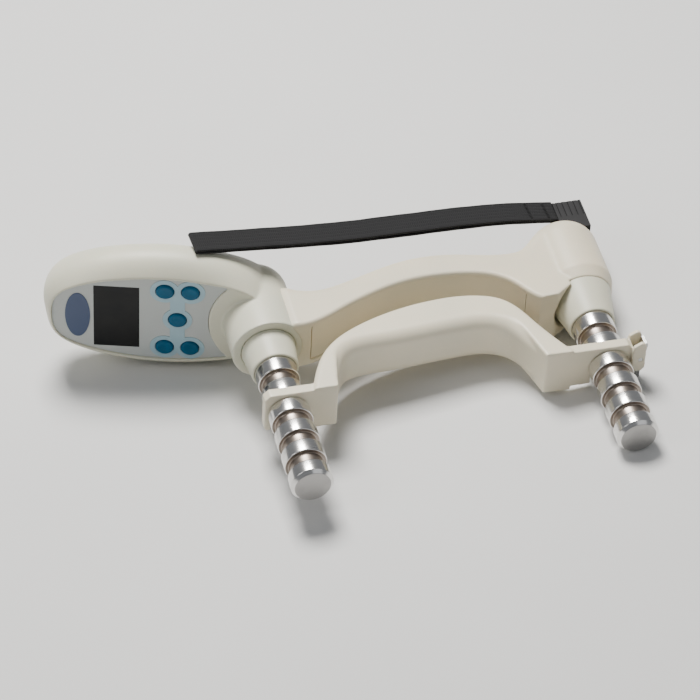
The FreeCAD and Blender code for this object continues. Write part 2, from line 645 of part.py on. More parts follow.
# ---------------------------------------------------------------- adjustable handle
SPAN_BACK = [(12.0, -20.5), (15.6, -11.5), (20.6, -3.0), (27.0, 3.6), (36.0, 9.2), (48.0, 14.2),
             (62.0, 18.0), (76.0, 20.0), (88.0, 20.2), (98.0, 18.6), (106.0, 15.2), (112.0, 9.0),
             (117.0, -0.5), (122.4, -11.5), (127.5, -20.5)]
SPAN_FRONT = [(23.0, -20.5), (26.6, -11.0), (31.5, -4.4), (39.0, -1.9), (52.0, -1.2), (70.0, 0.0),
              (86.0, 1.2), (97.0, 0.6), (104.5, -3.0), (110.0, -10.5), (115.0, -20.5)]


SADDLE = -size("first_groove") - size("groove_pitch")     # the second grooves, where the forks sit


def fork(body, centre, inner_end, sign):
    """A plate that drops over the post's groove; sign points from the post to the handle."""
    outer, top, low = centre - sign * size("fork_half"), size("fork_half"), -size("fork_foot")
    bevel, foot_bevel = 2.4, 1.2
    plate = sketch_on(body, "XZ_Plane", lifted(-SADDLE - size("fork_thick") / 2))
    polyline(plate, [(inner_end, low), (inner_end, top), (outer + sign * bevel, top),
                     (outer, top - bevel), (outer, low + foot_bevel),
                     (outer + sign * foot_bevel, low)])
    pad(body, plate, "fork_thick")


def build_adjustable_handle():
    spacing, half = size("post_spacing"), size("handle_half")
    body = new_body("adjustable_handle")
    plan = sketch_on(body, "XY_Plane")
    spline(plan, SPAN_BACK)
    spline(plan, SPAN_FRONT)
    foot = SADDLE - size("fork_thick") / 2
    polyline(plan, [SPAN_BACK[0], (SPAN_BACK[0][0] - 0.6, foot), (SPAN_FRONT[0][0] - 1.0, foot),
                    SPAN_FRONT[0]], closed=False)
    polyline(plan, [SPAN_BACK[-1], (SPAN_BACK[-1][0] + 1.6, foot), (SPAN_FRONT[-1][0] + 1.4, foot),
                    SPAN_FRONT[-1]], closed=False)
    pad(body, plan, "2 * handle_half", midplane=True)

    def long_edge(e, front):
        flat = e.BoundBox.ZLength < 0.01 and abs(abs(e.BoundBox.ZMin) - half) < 0.01
        middle = e.valueAt((e.FirstParameter + e.LastParameter) / 2)
        return flat and e.BoundBox.XLength > 60 and (middle.y < 8) == front
    soften(body, "handle_half * 0.5", lambda e: long_edge(e, True))
    soften(body, "handle_half * 0.2", lambda e: long_edge(e, False))
    fork(body, 0.0, 22.0, 1)
    fork(body, spacing, 116.5, -1)
    # ears for the clip's pin on the lower fork's outer prong
    ear_in, ear_out = spacing + size("fork_half") - 0.5, spacing + size("fork_half") + 5.4
    for side in (-1, 1):
        near = SADDLE + side * 2.9
        ear = sketch_on(body, "XZ_Plane", lifted(-near - (2.0 if side > 0 else 0)))
        polyline(ear, [(ear_in, -4.0), (ear_out - 1.5, -4.0), (ear_out, -2.0), (ear_out, 10.4),
                       (ear_out - 0.8, 12.2), (ear_out - 2.4, 12.6), (ear_in, 10.6)])
        pad(body, ear, "fork_thick * 0.4")
    bridge = sketch_on(body, "XZ_Plane", lifted(-SADDLE - 4.9))
    rectangle(bridge, ear_in + 0.1, 2.5, 0.9, 13.0)
    pad(body, bridge, "fork_thick * 1.96")
    # slots, open downwards
    slots = sketch_on(body, "XZ_Plane", lifted(-SADDLE))
    slot = size("fork_slot")
    for centre in (0.0, spacing):
        slots.addGeometry(Part.Arc(V(centre + slot, 0, 0), V(centre, slot, 0),
                                   V(centre - slot, 0, 0)), False)
        polyline(slots, [(centre - slot, 0), (centre - slot, -half - 2), (centre + slot, -half - 2),
                         (centre + slot, 0)], closed=False)
    pocket(body, slots, "fork_thick * 2.4", midplane=True)
    pivot = V(ear_out - 2.4, SADDLE, size("clip_pin_rise"))
    hole = sketch_on(body, "XZ_Plane", lifted(-SADDLE))
    circle(hole, pivot.x, pivot.z, size("clip_pin_radius") + 0.02)
    pocket(body, hole, "fork_thick * 2.4", midplane=True)
    keep(body)

    # the clip: a short lever that closes the lower fork under its post
    clip = new_body("handle_clip")
    side_view = sketch_on(clip, "XZ_Plane", lifted(-SADDLE))
    lever = [(-1.9, 1.4), (-1.9, -1.4), (-1.1, -2.4), (-1.1, -12.9), (-3.9, -13.2), (-3.9, -14.4),
             (0.2, -14.4), (1.2, -12.6), (1.2, -2.2), (2.1, -1.0), (2.2, 1.0), (3.2, 3.4), (3.7, 6.4),
             (3.1, 7.6), (1.9, 7.4), (1.3, 4.6), (0.4, 2.2), (-1.0, 2.2)]
    polyline(side_view, [(pivot.x + x, pivot.z + z) for x, z in lever])
    pad(clip, side_view, "fork_thick * 1.04", midplane=True)
    pin_hole = sketch_on(clip, "XZ_Plane", lifted(-SADDLE))
    circle(pin_hole, pivot.x, pivot.z, size("clip_pin_radius") + 0.05)
    pocket(clip, pin_hole, "fork_thick * 2", midplane=True)
    keep(clip)
    solid("clip_pin", Part.makeCylinder(size("clip_pin_radius"), 9.6,
                                        V(pivot.x, SADDLE - 4.8, pivot.z), V(0, 1, 0)))


# ---------------------------------------------------------------- strap
def rounded_path(points):
    """Straight runs joined by tangent arcs; each arc is as large as its two runs allow."""
    edges, start = [], points[0]
    for before, corner, after in zip(points, points[1:], points[2:]):
        a, b = before - corner, after - corner
        turn_angle = math.pi - a.getAngle(b)
        reach = 0.45 * min(a.Length, b.Length)
        a.normalize()
        b.normalize()
        first, last = corner + a * reach, corner + b * reach
        radius = reach / math.tan(turn_angle / 2)
        bisector = a + b
        bisector.normalize()
        middle = corner + bisector * (radius / math.cos(turn_angle / 2) - radius)
        edges += [Part.LineSegment(start, first).toShape(), Part.Arc(first, middle, last).toShape()]
        start = last
        print("strap arc radius", round(radius, 1))
    edges.append(Part.LineSegment(start, points[-1]).toShape())
    return Part.Wire(edges)


# the doubled strap's middle line, from the anchor to its fold on the head's edge
STRAP_ROUTE = [(145.9, 68.2, 8.3), (128.0, 66.7, 12.4), (106.0, 65.0, 15.6), (73.5, 62.4, 18.4),
               (42.0, 59.7, 21.4), (6.0, 56.1, 27.8), (-25.5, 54.0, 32.8)]


def build_strap():
    points = [V(*p) for p in STRAP_ROUTE]
    path = rounded_path(points)
    along = points[1] - points[0]
    across = V(-along.y, along.x, 0)
    across.normalize()
    up = along.cross(across)
    up.normalize()
    wide, thick = size("strap_width") / 2, size("strap_thick") / 2
    corners = [points[0] + across * (sx * wide) + up * (sz * thick)
               for sx, sz in ((-1, -1), (1, -1), (1, 1), (-1, 1), (-1, -1))]
    band = path.makePipeShell([Part.makePolygon(corners)], True, True)
    print("strap volume", round(band.Volume, 1), "expected",
          round(path.Length * 4 * wide * thick, 1), "length", round(path.Length, 1))
    solid("wrist_strap", band)

    # the ribbed block that grips the strap's two ends behind the lower boss
    deep, high, low = size("anchor_depth"), size("anchor_high"), size("anchor_low")
    left, back = size("post_spacing") + 1.0, size("anchor_back")
    block = new_body("strap_anchor")
    base = sketch_on(block, "YZ_Plane", lifted(left))
    rectangle(base, back - deep / 2, low + high / 2, deep, high)
    pad(block, base, "anchor_width")
    soften(block, "rib_deep * 1.6", lambda e: e.BoundBox.XLength > 5 and e.BoundBox.YMin > back - 1)
    ribs = sketch_on(block, "XY_Plane", lifted(low + high))
    for step in range(5):
        rectangle(ribs, left + 1.35 + step * size("rib_pitch"), back - 5.0, 1.1, 11.0)
    pocket(block, ribs, "rib_deep")
    # its front fits the boss's domed back
    dome = sketch_on(block, "XY_Plane", LOWER)
    gap, end = 0.3, size("boss_back")
    boss_side(dome, [(0, 30), (size("boss_radius") + gap, 30)], gap)
    turn(block, dome, cut=True)
    axis = V(size("post_spacing") + size("screw_side"), end, size("screw_rise"))
    hole = sketch_on(block, "XZ_Plane", lifted(-end - 8.6))
    circle(hole, axis.x, axis.z, size("screw_radius") + 0.05)
    pocket(block, hole, "anchor_depth", reverse=True)
    keep(block)
    screw = Part.makeCylinder(size("screw_radius"), 14.0, axis - V(0, 5.6, 0), V(0, 1, 0))
    head = Part.makeCylinder(2.7, 2.0, axis - V(0, 7.4, 0), V(0, 1, 0))
    solid("anchor_screw", screw.fuse(head))


def build_wires():
    """The gauges' wires run beside the load beam, past the upper post's nut, into the head."""
    route = [(64, 38.6), (44, 33.0), (20, 30.8), (0, 32.8), (-12, 40.5), (-21.5, 47.6)]
    points = [V(x, y, 8.9) for x, y in route]
    path = rounded_path(points)
    ring = Part.Wire([Part.makeCircle(size("wire_radius"), points[0], points[1] - points[0])])
    solid("gauge_wires", path.makePipeShell([ring], True, True))


def main():
    build_head()
    build_fascia()
    build_buttons()
    build_head_inside()
    build_battery_cover()
    build_post("upper_post", None)
    build_post("lower_post", LOWER)
    build_collar("upper_collar", None, size("upper_collar_wide"), size("upper_boss_end"),
                 size("upper_collar_wide") - 0.1)
    build_collar("lower_collar", LOWER, size("lower_collar_wide"), size("lower_boss_end"),
                 size("lower_collar_wide") - 2.1)
    build_beam()
    build_fixed_handle()
    build_adjustable_handle()
    build_strap()
    build_wires()
    doc.recompute()
    os.makedirs("parts", exist_ok=True)
    for feature in doc.Objects:
        if {"Invalid", "Error"} & set(feature.State):
            raise RuntimeError(feature.Name + " failed: " + str(feature.State))
    for feature in NODES:
        if feature.Shape.isNull() or not feature.Shape.isValid():
            raise RuntimeError(feature.Label + " has no valid shape")
    for feature in NODES:
        feature.Shape.exportStep("parts/" + feature.Label + ".step")
        print(feature.Label, len(feature.Shape.Solids), round(feature.Shape.Volume, 1))


main()
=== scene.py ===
"""Hand dynamometer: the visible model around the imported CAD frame.

Pieces are drawn in the instrument's own frame, in millimetres (origin on the upper post's axis
at its collar's end, X along the grip, -Y to the post tips), and POSE lays them down as the
CAD model lies.
"""
import math

import bmesh
import bpy
from mathutils import Matrix, Vector


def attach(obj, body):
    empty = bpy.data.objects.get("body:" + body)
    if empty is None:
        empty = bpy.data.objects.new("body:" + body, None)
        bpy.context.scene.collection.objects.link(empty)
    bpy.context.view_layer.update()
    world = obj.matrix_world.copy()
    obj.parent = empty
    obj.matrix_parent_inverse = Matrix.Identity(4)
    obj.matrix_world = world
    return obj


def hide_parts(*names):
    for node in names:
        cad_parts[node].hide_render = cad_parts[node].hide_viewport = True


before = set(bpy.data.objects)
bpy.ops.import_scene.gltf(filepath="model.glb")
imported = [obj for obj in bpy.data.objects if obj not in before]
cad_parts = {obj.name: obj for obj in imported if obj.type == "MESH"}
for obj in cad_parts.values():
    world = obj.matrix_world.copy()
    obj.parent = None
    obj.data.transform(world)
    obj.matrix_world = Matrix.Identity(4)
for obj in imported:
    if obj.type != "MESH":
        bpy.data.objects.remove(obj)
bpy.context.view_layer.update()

# ------------------------------------------------------------------ frames and sizes
ROLL, PITCH = math.radians(4.287), math.radians(4.268)      # how the instrument leans as it lies
POSE = (Matrix.Translation((-0.036095, -0.002863, 0.025552))
        @ Matrix.Rotation(PITCH, 4, "X") @ Matrix.Rotation(ROLL, 4, "Y"))
MM = 0.001                           # metres in a millimetre
LAY = POSE @ Matrix.Scale(MM, 4)     # instrument millimetres to the row's metres
SPACING = 146.0                      # from post to post
LEAN = math.radians(15.9)            # of the head against the posts
HEAD_RISE = 29.8                     # of the head's own frame, along the upper post's axis
HEAD = Matrix(((0, -math.cos(LEAN), -math.sin(LEAN), 0),
               (0, math.sin(LEAN), -math.cos(LEAN), HEAD_RISE),
               (1, 0, 0, 0),
               (0, 0, 0, 1)))
FACE_SINK = 1.0                      # the fascia lies this far behind the head's rim
LAY_FACE = LAY @ HEAD @ Matrix.Translation((0, 0, -FACE_SINK))


def lay(x, y, z):
    """A point of the instrument, in millimetres, where it lies in the row."""
    return LAY @ Vector((x, y, z))


# ------------------------------------------------------------------ mesh helpers
def linked(name, data):
    """A new object in the scene."""
    made = bpy.data.objects.new(name, data)
    bpy.context.collection.objects.link(made)
    return made


def new_piece(name, mesh, materials, body="frame"):
    """A smooth-shaded piece of the instrument that rides on a body."""
    piece = linked(name, mesh)
    for made in materials:
        mesh.materials.append(made)
    for face in mesh.polygons:
        face.use_smooth = True
    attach(piece, body)
    return piece


def mesh_from(name, verts, faces, matrix=None, slots=()):
    """A mesh from points and faces, moved by matrix; slots holds each face's material index."""
    mesh = bpy.data.meshes.new(name)
    mesh.from_pydata([tuple(v) for v in verts], [], faces)
    for face, slot in zip(mesh.polygons, slots):
        face.material_index = slot
    if matrix is not None:
        mesh.transform(matrix)
    mesh.update()
    return mesh


def outward(mesh):
    """Turn every face's normal outwards."""
    bm = bmesh.new()
    bm.from_mesh(mesh)
    bmesh.ops.recalc_face_normals(bm, faces=bm.faces)
    bm.to_mesh(mesh)
    bm.free()


def bake_modifiers(piece):
    """Replace the piece's mesh by what its modifiers make of it, with smooth shading."""
    graph = bpy.context.evaluated_depsgraph_get()
    graph.update()
    result = bpy.data.meshes.new_from_object(piece.evaluated_get(graph))
    piece.modifiers.clear()
    old = piece.data
    piece.data = result
    bpy.data.meshes.remove(old)
    for face in piece.data.polygons:
        face.use_smooth = True


def rounded(profile, radius, steps=4):
    """Replace each inner corner of an open (radius, height) run by a small curve."""
    points = [(r, height, 0) for r, height in profile]
    nearly_straight, run_share = 0.05, 0.45      # radians; how much of a run a corner may take
    result = [Vector(points[0])]
    for before, corner, after in zip(points, points[1:], points[2:]):
        corner = Vector(corner)
        back, ahead = Vector(before) - corner, Vector(after) - corner
        turn = math.pi - back.angle(ahead)
        if turn < nearly_straight:
            result.append(corner)
            continue
        reach = min(radius * math.tan(turn / 2), run_share * back.length, run_share * ahead.length)
        start, end = corner + back.normalized() * reach, corner + ahead.normalized() * reach
        for step in range(steps + 1):
            t = step / steps
            result.append(start.lerp(corner, t).lerp(corner.lerp(end, t), t))
    result.append(Vector(points[-1]))
    return [(point.x, point.y) for point in result]


def lathe(name, profile, matrix, materials, body="frame", segments=96, slot_of=None):
    """Revolve a run of (radius, height) about local Y; ends at radius 0 close with a fan."""
    verts, faces, slots, rings = [], [], [], []
    for radius, height in profile:
        if radius == 0:
            rings.append([len(verts)])
            verts.append(Vector((0, height, 0)))
            continue
        rings.append(list(range(len(verts), len(verts) + segments)))
        for k in range(segments):
            angle = 2 * math.pi * k / segments
            verts.append(Vector((radius * math.cos(angle), height, radius * math.sin(angle))))
    for span, (low, high) in enumerate(zip(rings, rings[1:])):
        slot = slot_of(profile[span], profile[span + 1]) if slot_of else 0
        for k in range(segments):
            nxt = (k + 1) % segments
            if len(low) == 1 and len(high) == 1:
                break
            if len(low) == 1:
                faces.append((low[0], high[k], high[nxt]))
            elif len(high) == 1:
                faces.append((low[k], high[0], low[nxt]))
            else:
                faces.append((low[k], high[k], high[nxt], low[nxt]))
            slots.append(slot)
    mesh = mesh_from(name, verts, faces, matrix, slots)
    # the UV map runs with the cutting tool: v is the way along the profile, in millimetres
    run = [0.0]
    for (r0, h0), (r1, h1) in zip(profile, profile[1:]):
        run.append(run[-1] + math.hypot(r1 - r0, h1 - h0))
    ring_of = {v: k for k, ring in enumerate(rings) for v in ring}
    layer = mesh.uv_layers.new(name="turning")
    for loop in mesh.loops:
        layer.data[loop.index].uv = (0.5, run[ring_of[loop.vertex_index]])
    outward(mesh)
    return new_piece(name, mesh, materials, body)


WELD = 1e-6                          # metres: points nearer than this are one


def moulded(name, node, finish, body, voxel, passes, soft, soft_passes, shape=None):
    """A moulded shell grown from its CAD node: remeshed so that every corner gets a small
    radius, blended further where soft(point) says so (0 to 1), and then moved by shape(point).
    Both take points of the instrument, in millimetres, and shape gives one back."""
    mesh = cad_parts[node].data.copy()
    mesh.materials.clear()
    piece = linked(name, mesh)
    bm = bmesh.new()
    bm.from_mesh(mesh)
    bmesh.ops.remove_doubles(bm, verts=bm.verts, dist=WELD)
    bm.to_mesh(mesh)
    bm.free()
    grown = piece.modifiers.new("grow", "REMESH")
    grown.mode = "VOXEL"
    grown.voxel_size = voxel * MM
    even = piece.modifiers.new("even", "SMOOTH")
    even.factor = 0.5
    even.iterations = passes
    bake_modifiers(piece)
    group = piece.vertex_groups.new(name="soft")
    unlay = LAY.inverted()
    for vert in piece.data.vertices:
        weight = soft(unlay @ vert.co)
        if weight > 0:
            group.add([vert.index], min(weight, 1.0), "REPLACE")
    blend = piece.modifiers.new("blend", "SMOOTH")
    blend.vertex_group = "soft"
    blend.factor = 0.5
    blend.iterations = soft_passes
    bake_modifiers(piece)
    if shape is not None:
        for vert in piece.data.vertices:
            vert.co = LAY @ shape(unlay @ vert.co)
    piece.data.materials.append(finish)
    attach(piece, body)
    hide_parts(node)


def ramp(value, low, high):
    """0 up to low, then a straight rise to 1 at high."""
    return max(0.0, min(1.0, (value - low) / (high - low)))


def ramp_between(value, low, high):
    """0 outside low..high, 1 well inside it."""
    margin = 0.3 * (high - low)
    return max(0.0, min(1.0, (value - low) / margin, (high - value) / margin))


# ------------------------------------------------------------------ materials
def material(name, slot=None):
    """A new material with nodes; slot is the record's material slot that it stands for."""
    made = bpy.data.materials.new(name)
    made.use_nodes = True
    if slot:
        made["slot"] = slot
    return made


def dimmed(colour, factor):
    """The colour times a factor, and no brighter than white."""
    return tuple(min(c * factor, 1) for c in colour)


class Nodes:
    """Shorthand for building a node tree. Noise scales are per metre, or per UV unit."""

    def __init__(self, made):
        self.tree = made.node_tree
        self.shader = self.tree.nodes["Principled BSDF"]
        self.coord = self.add("ShaderNodeTexCoord")

    def add(self, kind, **values):
        node = self.tree.nodes.new(kind)
        for key, value in values.items():
            setattr(node, key, value)
        return node

    def link(self, a, b):
        self.tree.links.new(a, b)

    def noise(self, scale, detail=3.0, roughness=0.55, source=None):
        node = self.add("ShaderNodeTexNoise")
        node.inputs["Scale"].default_value = scale
        node.inputs["Detail"].default_value = detail
        node.inputs["Roughness"].default_value = roughness
        self.link(source or self.coord.outputs["Object"], node.inputs["Vector"])
        return node.outputs["Fac"]

    def spread(self, factor, low, high, from_low=0.3, from_high=0.7):
        node = self.add("ShaderNodeMapRange")
        node.inputs["From Min"].default_value = from_low
        node.inputs["From Max"].default_value = from_high
        node.inputs["To Min"].default_value = low
        node.inputs["To Max"].default_value = high
        self.link(factor, node.inputs["Value"])
        return node.outputs["Result"]

    def mix(self, factor, first, second):
        node = self.add("ShaderNodeMix", data_type="RGBA")
        for socket, value in ((node.inputs[6], first), (node.inputs[7], second)):
            if isinstance(value, tuple):
                socket.default_value = (*value, 1.0)
            else:
                self.link(value, socket)
        self.link(factor, node.inputs[0])
        return node.outputs[2]

    def math(self, operation, a, b=0.0):
        node = self.add("ShaderNodeMath", operation=operation)
        for socket, value in zip(node.inputs, (a, b)):
            if isinstance(value, (int, float)):
                socket.default_value = value
            else:
                self.link(value, socket)
        return node.outputs[0]

    def bump(self, height, strength, distance, base=None):
        node = self.add("ShaderNodeBump")
        node.inputs["Strength"].default_value = strength
        node.inputs["Distance"].default_value = distance
        self.link(height, node.inputs["Height"])
        if base is not None:
            self.link(base, node.inputs["Normal"])
        return node.outputs["Normal"]

    def colour(self, socket):
        self.link(socket, self.shader.inputs["Base Color"])

    def rough(self, socket):
        self.link(socket, self.shader.inputs["Roughness"])

    def normal(self, socket):
        self.link(socket, self.shader.inputs["Normal"])


def moulded_plastic(name, slot, colour, rough=0.42, grain=0.00002, tint=0.035):
    """Moulded plastic: a faint grain, slow changes of tone, and convex edges painted slightly lighter
    as a highlight.
    """
    made = material(name, slot)
    n = Nodes(made)
    slow = n.noise(28.0, 3.0)
    fine = n.noise(900.0, 2.0)
    grain_noise = n.noise(2600.0, 2.0, 0.6)
    deeper = dimmed(colour, 1 - 2.2 * tint)
    warmer = (min(colour[0] * (1 + tint), 1), colour[1], colour[2] * (1 - tint))
    tone = n.mix(n.spread(slow, 0.0, 1.0), deeper, warmer)
    tone = n.mix(n.spread(fine, 0.0, 0.10), tone, dimmed(colour, 0.8))
    # convex edges are painted up to 8% lighter: a painted highlight along the rims
    edge = n.add("ShaderNodeNewGeometry").outputs["Pointiness"]
    painted_edge_highlight = n.spread(edge, 0.0, 0.35, 0.52, 0.60)
    n.colour(n.mix(painted_edge_highlight, tone, dimmed(colour, 1.08)))
    n.rough(n.spread(n.noise(60.0, 4.0), rough - 0.05, rough + 0.07))
    n.normal(n.bump(grain_noise, 0.5, grain))
    n.shader.inputs["Specular IOR Level"].default_value = 0.45
    n.shader.inputs["Subsurface Weight"].default_value = 0.04
    n.shader.inputs["Subsurface Scale"].default_value = 0.002
    return made


def turned_steel(name, slot, colour, rough, ring_scale=3.2, ring_depth=0.000004, smear_colour=None):
    """Turned steel: fine tool marks across the UV map's v, and a few soft smears."""
    made = material(name, slot)
    n = Nodes(made)
    rings = n.noise(ring_scale, 3.0, 0.7, n.coord.outputs["UV"])
    smear = n.noise(90.0, 4.0, 0.6)
    dark = smear_colour or dimmed(colour, 0.72)
    n.colour(n.mix(n.spread(smear, 0.0, 0.5, 0.45, 0.75), colour, dark))
    n.shader.inputs["Metallic"].default_value = 1.0
    n.rough(n.math("ADD", n.spread(smear, rough - 0.03, rough + 0.08), n.spread(rings, -0.03, 0.05)))
    n.normal(n.bump(rings, 0.6, ring_depth))
    return made


def plated_steel(name, slot, colour, rough):
    """Sheet or plated metal with a fine, even scratch grain along X."""
    made = material(name, slot)
    n = Nodes(made)
    stretch = n.add("ShaderNodeMapping")
    stretch.inputs["Scale"].default_value = (200.0, 4000.0, 4000.0)
    n.link(n.coord.outputs["Object"], stretch.inputs["Vector"])
    scratch = n.noise(1.0, 3.0, 0.6, stretch.outputs["Vector"])
    smear = n.noise(120.0, 3.0)
    n.colour(n.mix(n.spread(smear, 0.0, 0.6), colour, dimmed(colour, 0.78)))
    n.shader.inputs["Metallic"].default_value = 1.0
    n.rough(n.spread(scratch, rough - 0.06, rough + 0.08))
    n.normal(n.bump(scratch, 0.5, 0.000006))
    return made


def gloss_black(name, slot):
    """A glossy black window with faint smudges and a little dust."""
    made = material(name, slot)
    n = Nodes(made)
    dust = n.noise(1400.0, 2.0)
    smudge = n.noise(45.0, 3.0)
    n.colour(n.mix(n.spread(smudge, 0.0, 1.0), (0.010, 0.011, 0.012), (0.018, 0.018, 0.017)))
    n.rough(n.math("ADD", n.spread(smudge, 0.05, 0.12), n.spread(dust, 0.0, 0.10, 0.66, 0.8)))
    n.shader.inputs["Specular IOR Level"].default_value = 0.12
    return made


def soft_rubber(name, slot, colour, rough=0.55):
    """Matt rubber or dull black plastic with a fine pitted grain."""
    made = material(name, slot)
    n = Nodes(made)
    slow, fine = n.noise(140.0, 3.0), n.noise(3200.0, 2.0)
    n.colour(n.mix(n.spread(slow, 0.0, 1.0), dimmed(colour, 0.88), dimmed(colour, 1.12)))
    n.rough(n.spread(fine, rough - 0.06, rough + 0.08))
    n.normal(n.bump(fine, 0.5, 0.00002))
    n.shader.inputs["Specular IOR Level"].default_value = 0.22
    return made


def printed_film(name, slot, colour):
    """Printed plastic film in one colour."""
    made = material(name, slot)
    n = Nodes(made)
    dots, slow = n.noise(5000.0, 1.0), n.noise(60.0, 3.0)
    n.colour(n.mix(n.spread(slow, 0.0, 1.0), dimmed(colour, 0.94), colour))
    n.rough(n.spread(dots, 0.32, 0.42))
    n.normal(n.bump(dots, 0.3, 0.00001))
    return made


def webbing(name, slot, colour):
    """Flat woven webbing; the UV map runs across (u) and along (v) in millimetres."""
    made = material(name, slot)
    n = Nodes(made)
    split = n.add("ShaderNodeSeparateXYZ")
    n.link(n.coord.outputs["UV"], split.inputs["Vector"])
    u, v = split.outputs["X"], split.outputs["Y"]
    # pairs of warp yarns lean left and right in turn, like the chevrons of nylon tape
    yarn_wide, yarn_long, slant = 1.05, 0.9, 0.55
    columns = n.math("MULTIPLY", u, 1.0 / yarn_wide)
    odd = n.math("MODULO", n.math("FLOOR", columns), 2.0)
    across = n.math("SUBTRACT", n.math("FRACT", columns), 0.5)
    lean = n.math("MULTIPLY", across, n.math("SUBTRACT", n.math("MULTIPLY", odd, 2.0), 1.0))
    phase = n.math("ADD", n.math("MULTIPLY", v, 1.0 / yarn_long), n.math("MULTIPLY", lean, slant))
    yarn = n.math("ABSOLUTE", n.math("SINE", n.math("MULTIPLY", phase, math.pi)))
    crown = n.math("SUBTRACT", 1.0, n.math("POWER", n.math("MULTIPLY",
                   n.math("ABSOLUTE", across), 2.0), 3.0))
    height = n.math("MULTIPLY", yarn, crown)
    fuzz = n.noise(4200.0, 3.0)
    # the yarns' crowns are painted lighter and the hollows between them darker: painted highlight and
    # painted shade in the weave
    tone = n.mix(n.spread(height, 0.0, 1.0, 0.1, 0.95), dimmed(colour, 0.60), dimmed(colour, 1.2))
    n.colour(n.mix(n.spread(fuzz, 0.0, 0.35, 0.5, 0.8), tone, dimmed(colour, 1.9)))
    n.rough(n.spread(fuzz, 0.62, 0.85))
    base = n.bump(fuzz, 0.4, 0.00003)
    n.normal(n.bump(height, 0.9, 0.00025, base))
    n.shader.inputs["Sheen Weight"].default_value = 0.06
    n.shader.inputs["Sheen Roughness"].default_value = 0.4
    n.shader.inputs["Specular IOR Level"].default_value = 0.25
    return made


def circuit_board(name, slot):
    """Green board with lighter tracks round square fields."""
    made = material(name, slot)
    n = Nodes(made)
    cells = n.add("ShaderNodeTexVoronoi", feature="DISTANCE_TO_EDGE", distance="MANHATTAN")
    cells.inputs["Scale"].default_value = 420.0
    n.link(n.coord.outputs["Object"], cells.inputs["Vector"])
    track = n.spread(cells.outputs["Distance"], 1.0, 0.0, 0.04, 0.07)
    n.colour(n.mix(track, (0.02, 0.13, 0.06), (0.05, 0.24, 0.10)))
    n.rough(n.spread(n.noise(700.0), 0.25, 0.4))
    n.normal(n.bump(track, 0.5, 0.00004))
    return made


PLASTIC_HEAD = moulded_plastic("plastic_head", "shell_green", (0.66, 0.66, 0.535))
PLASTIC_GRIP = moulded_plastic("plastic_grip", "shell_cream", (0.73, 0.675, 0.525))
PLASTIC_SPAN = moulded_plastic("plastic_span", "handle_cream", (0.77, 0.72, 0.565), 0.38)
PLASTIC_FACE = moulded_plastic("plastic_face", "fascia_pale", (0.46, 0.49, 0.48), 0.5, 0.00003)
STEEL_LAND = turned_steel("steel_land", "post_steel", (0.74, 0.73, 0.71), 0.17)
# the grooves' dark brown steel colours are painted shade in the grooves
STEEL_GROOVE = turned_steel("steel_groove", "post_steel", (0.36, 0.31, 0.27), 0.30, 1.6,
                            0.000010, (0.16, 0.13, 0.11))
# the tip's darker steel colour is painted shade on the end face and its bevel
STEEL_TIP = turned_steel("steel_tip", "post_steel", (0.40, 0.39, 0.38), 0.36, 2.4, 0.000012)
STEEL_SCREW = plated_steel("steel_screw", "screw_steel", (0.60, 0.60, 0.58), 0.32)
STEEL_CLIP = plated_steel("steel_clip", "clip_steel", (0.50, 0.50, 0.49), 0.30)
ALUMINIUM = plated_steel("aluminium", "beam_metal", (0.72, 0.73, 0.74), 0.36)
BLACK_GLOSS = gloss_black("black_gloss", "window_black")
BLUE_KEY = soft_rubber("blue_key", "button_blue", (0.0, 0.085, 0.17), 0.36)
BLUE_FILM = printed_film("blue_film", "halo_blue", (0.34, 0.50, 0.57))
BADGE_FILM = printed_film("badge_film", "badge_blue", (0.030, 0.055, 0.13))
WEB = webbing("strap_web", "strap_black", (0.013, 0.013, 0.014))
THREAD = soft_rubber("strap_thread", "strap_black", (0.030, 0.030, 0.031), 0.7)
BLACK_BLOCK = soft_rubber("black_block", "anchor_black", (0.020, 0.020, 0.021), 0.6)
BOARD = circuit_board("board", "board_green")
CELL = printed_film("cell_sleeve", "cell_skin", (0.06, 0.065, 0.075))
SEAL = soft_rubber("seal", "seal_rubber", (0.025, 0.025, 0.025), 0.6)

FINISH = {
    "lcd_window": BLACK_GLOSS, "lcd_module": BOARD, "main_board": BOARD, "board_screws": STEEL_SCREW,
    "keypad_mat": SEAL, "keypad_halo": BLUE_FILM, "badge_inlay": BADGE_FILM, "battery_cells": CELL,
    "battery_contacts": STEEL_SCREW, "buzzer": BLACK_BLOCK, "handle_front_cover": PLASTIC_GRIP,
    "load_beam": ALUMINIUM, "strain_gauges": BOARD, "gauge_wires": SEAL, "post_nuts": STEEL_SCREW,
    "collar_seals": SEAL, "anchor_screw": STEEL_SCREW, "clip_pin": STEEL_SCREW,
    "head_fascia": PLASTIC_FACE, "handle_clip": STEEL_CLIP, "battery_cover": PLASTIC_HEAD,
    "strap_anchor": BLACK_BLOCK,
}


def finish_cad_nodes():
    """Give each CAD node that stays visible its material."""
    for node, made in FINISH.items():
        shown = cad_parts[node]
        shown.data.materials.clear()
        shown.data.materials.append(made)


# ------------------------------------------------------------------ moulded shells
TUCK, TUCK_FROM, TUCK_OVER = 1.5, 19.0, 2.4      # mm: how far in, from and over which radius


def neck_weight(p):
    """Blend the head into its boss, but keep the boss's open end and the face's rim crisp."""
    behind = -(HEAD.inverted() @ p).z
    return ramp_between(p.x, -44, 16) * ramp_between(p.y, 19, 90) * ramp(behind, 1.5, 7.5)


def foot_weight(p):
    """Round the adjustable handle's two feet, but keep its forks crisp."""
    feet = max(ramp_between(p.x, 13, 34), ramp_between(p.x, 104, 126))
    between_forks = abs(p.x - SPACING / 2) < 50.5
    return feet * ramp_between(p.y, -34, 8) * (1 if between_forks else 0.25)


def grip_weight(p):
    """Blend the fixed handle into the lower boss, and the boss itself a little less."""
    return ramp_between(p.x, 112, 146) * ramp_between(p.y, 20, 64) * (1 if p.x < 140 else 0.6)


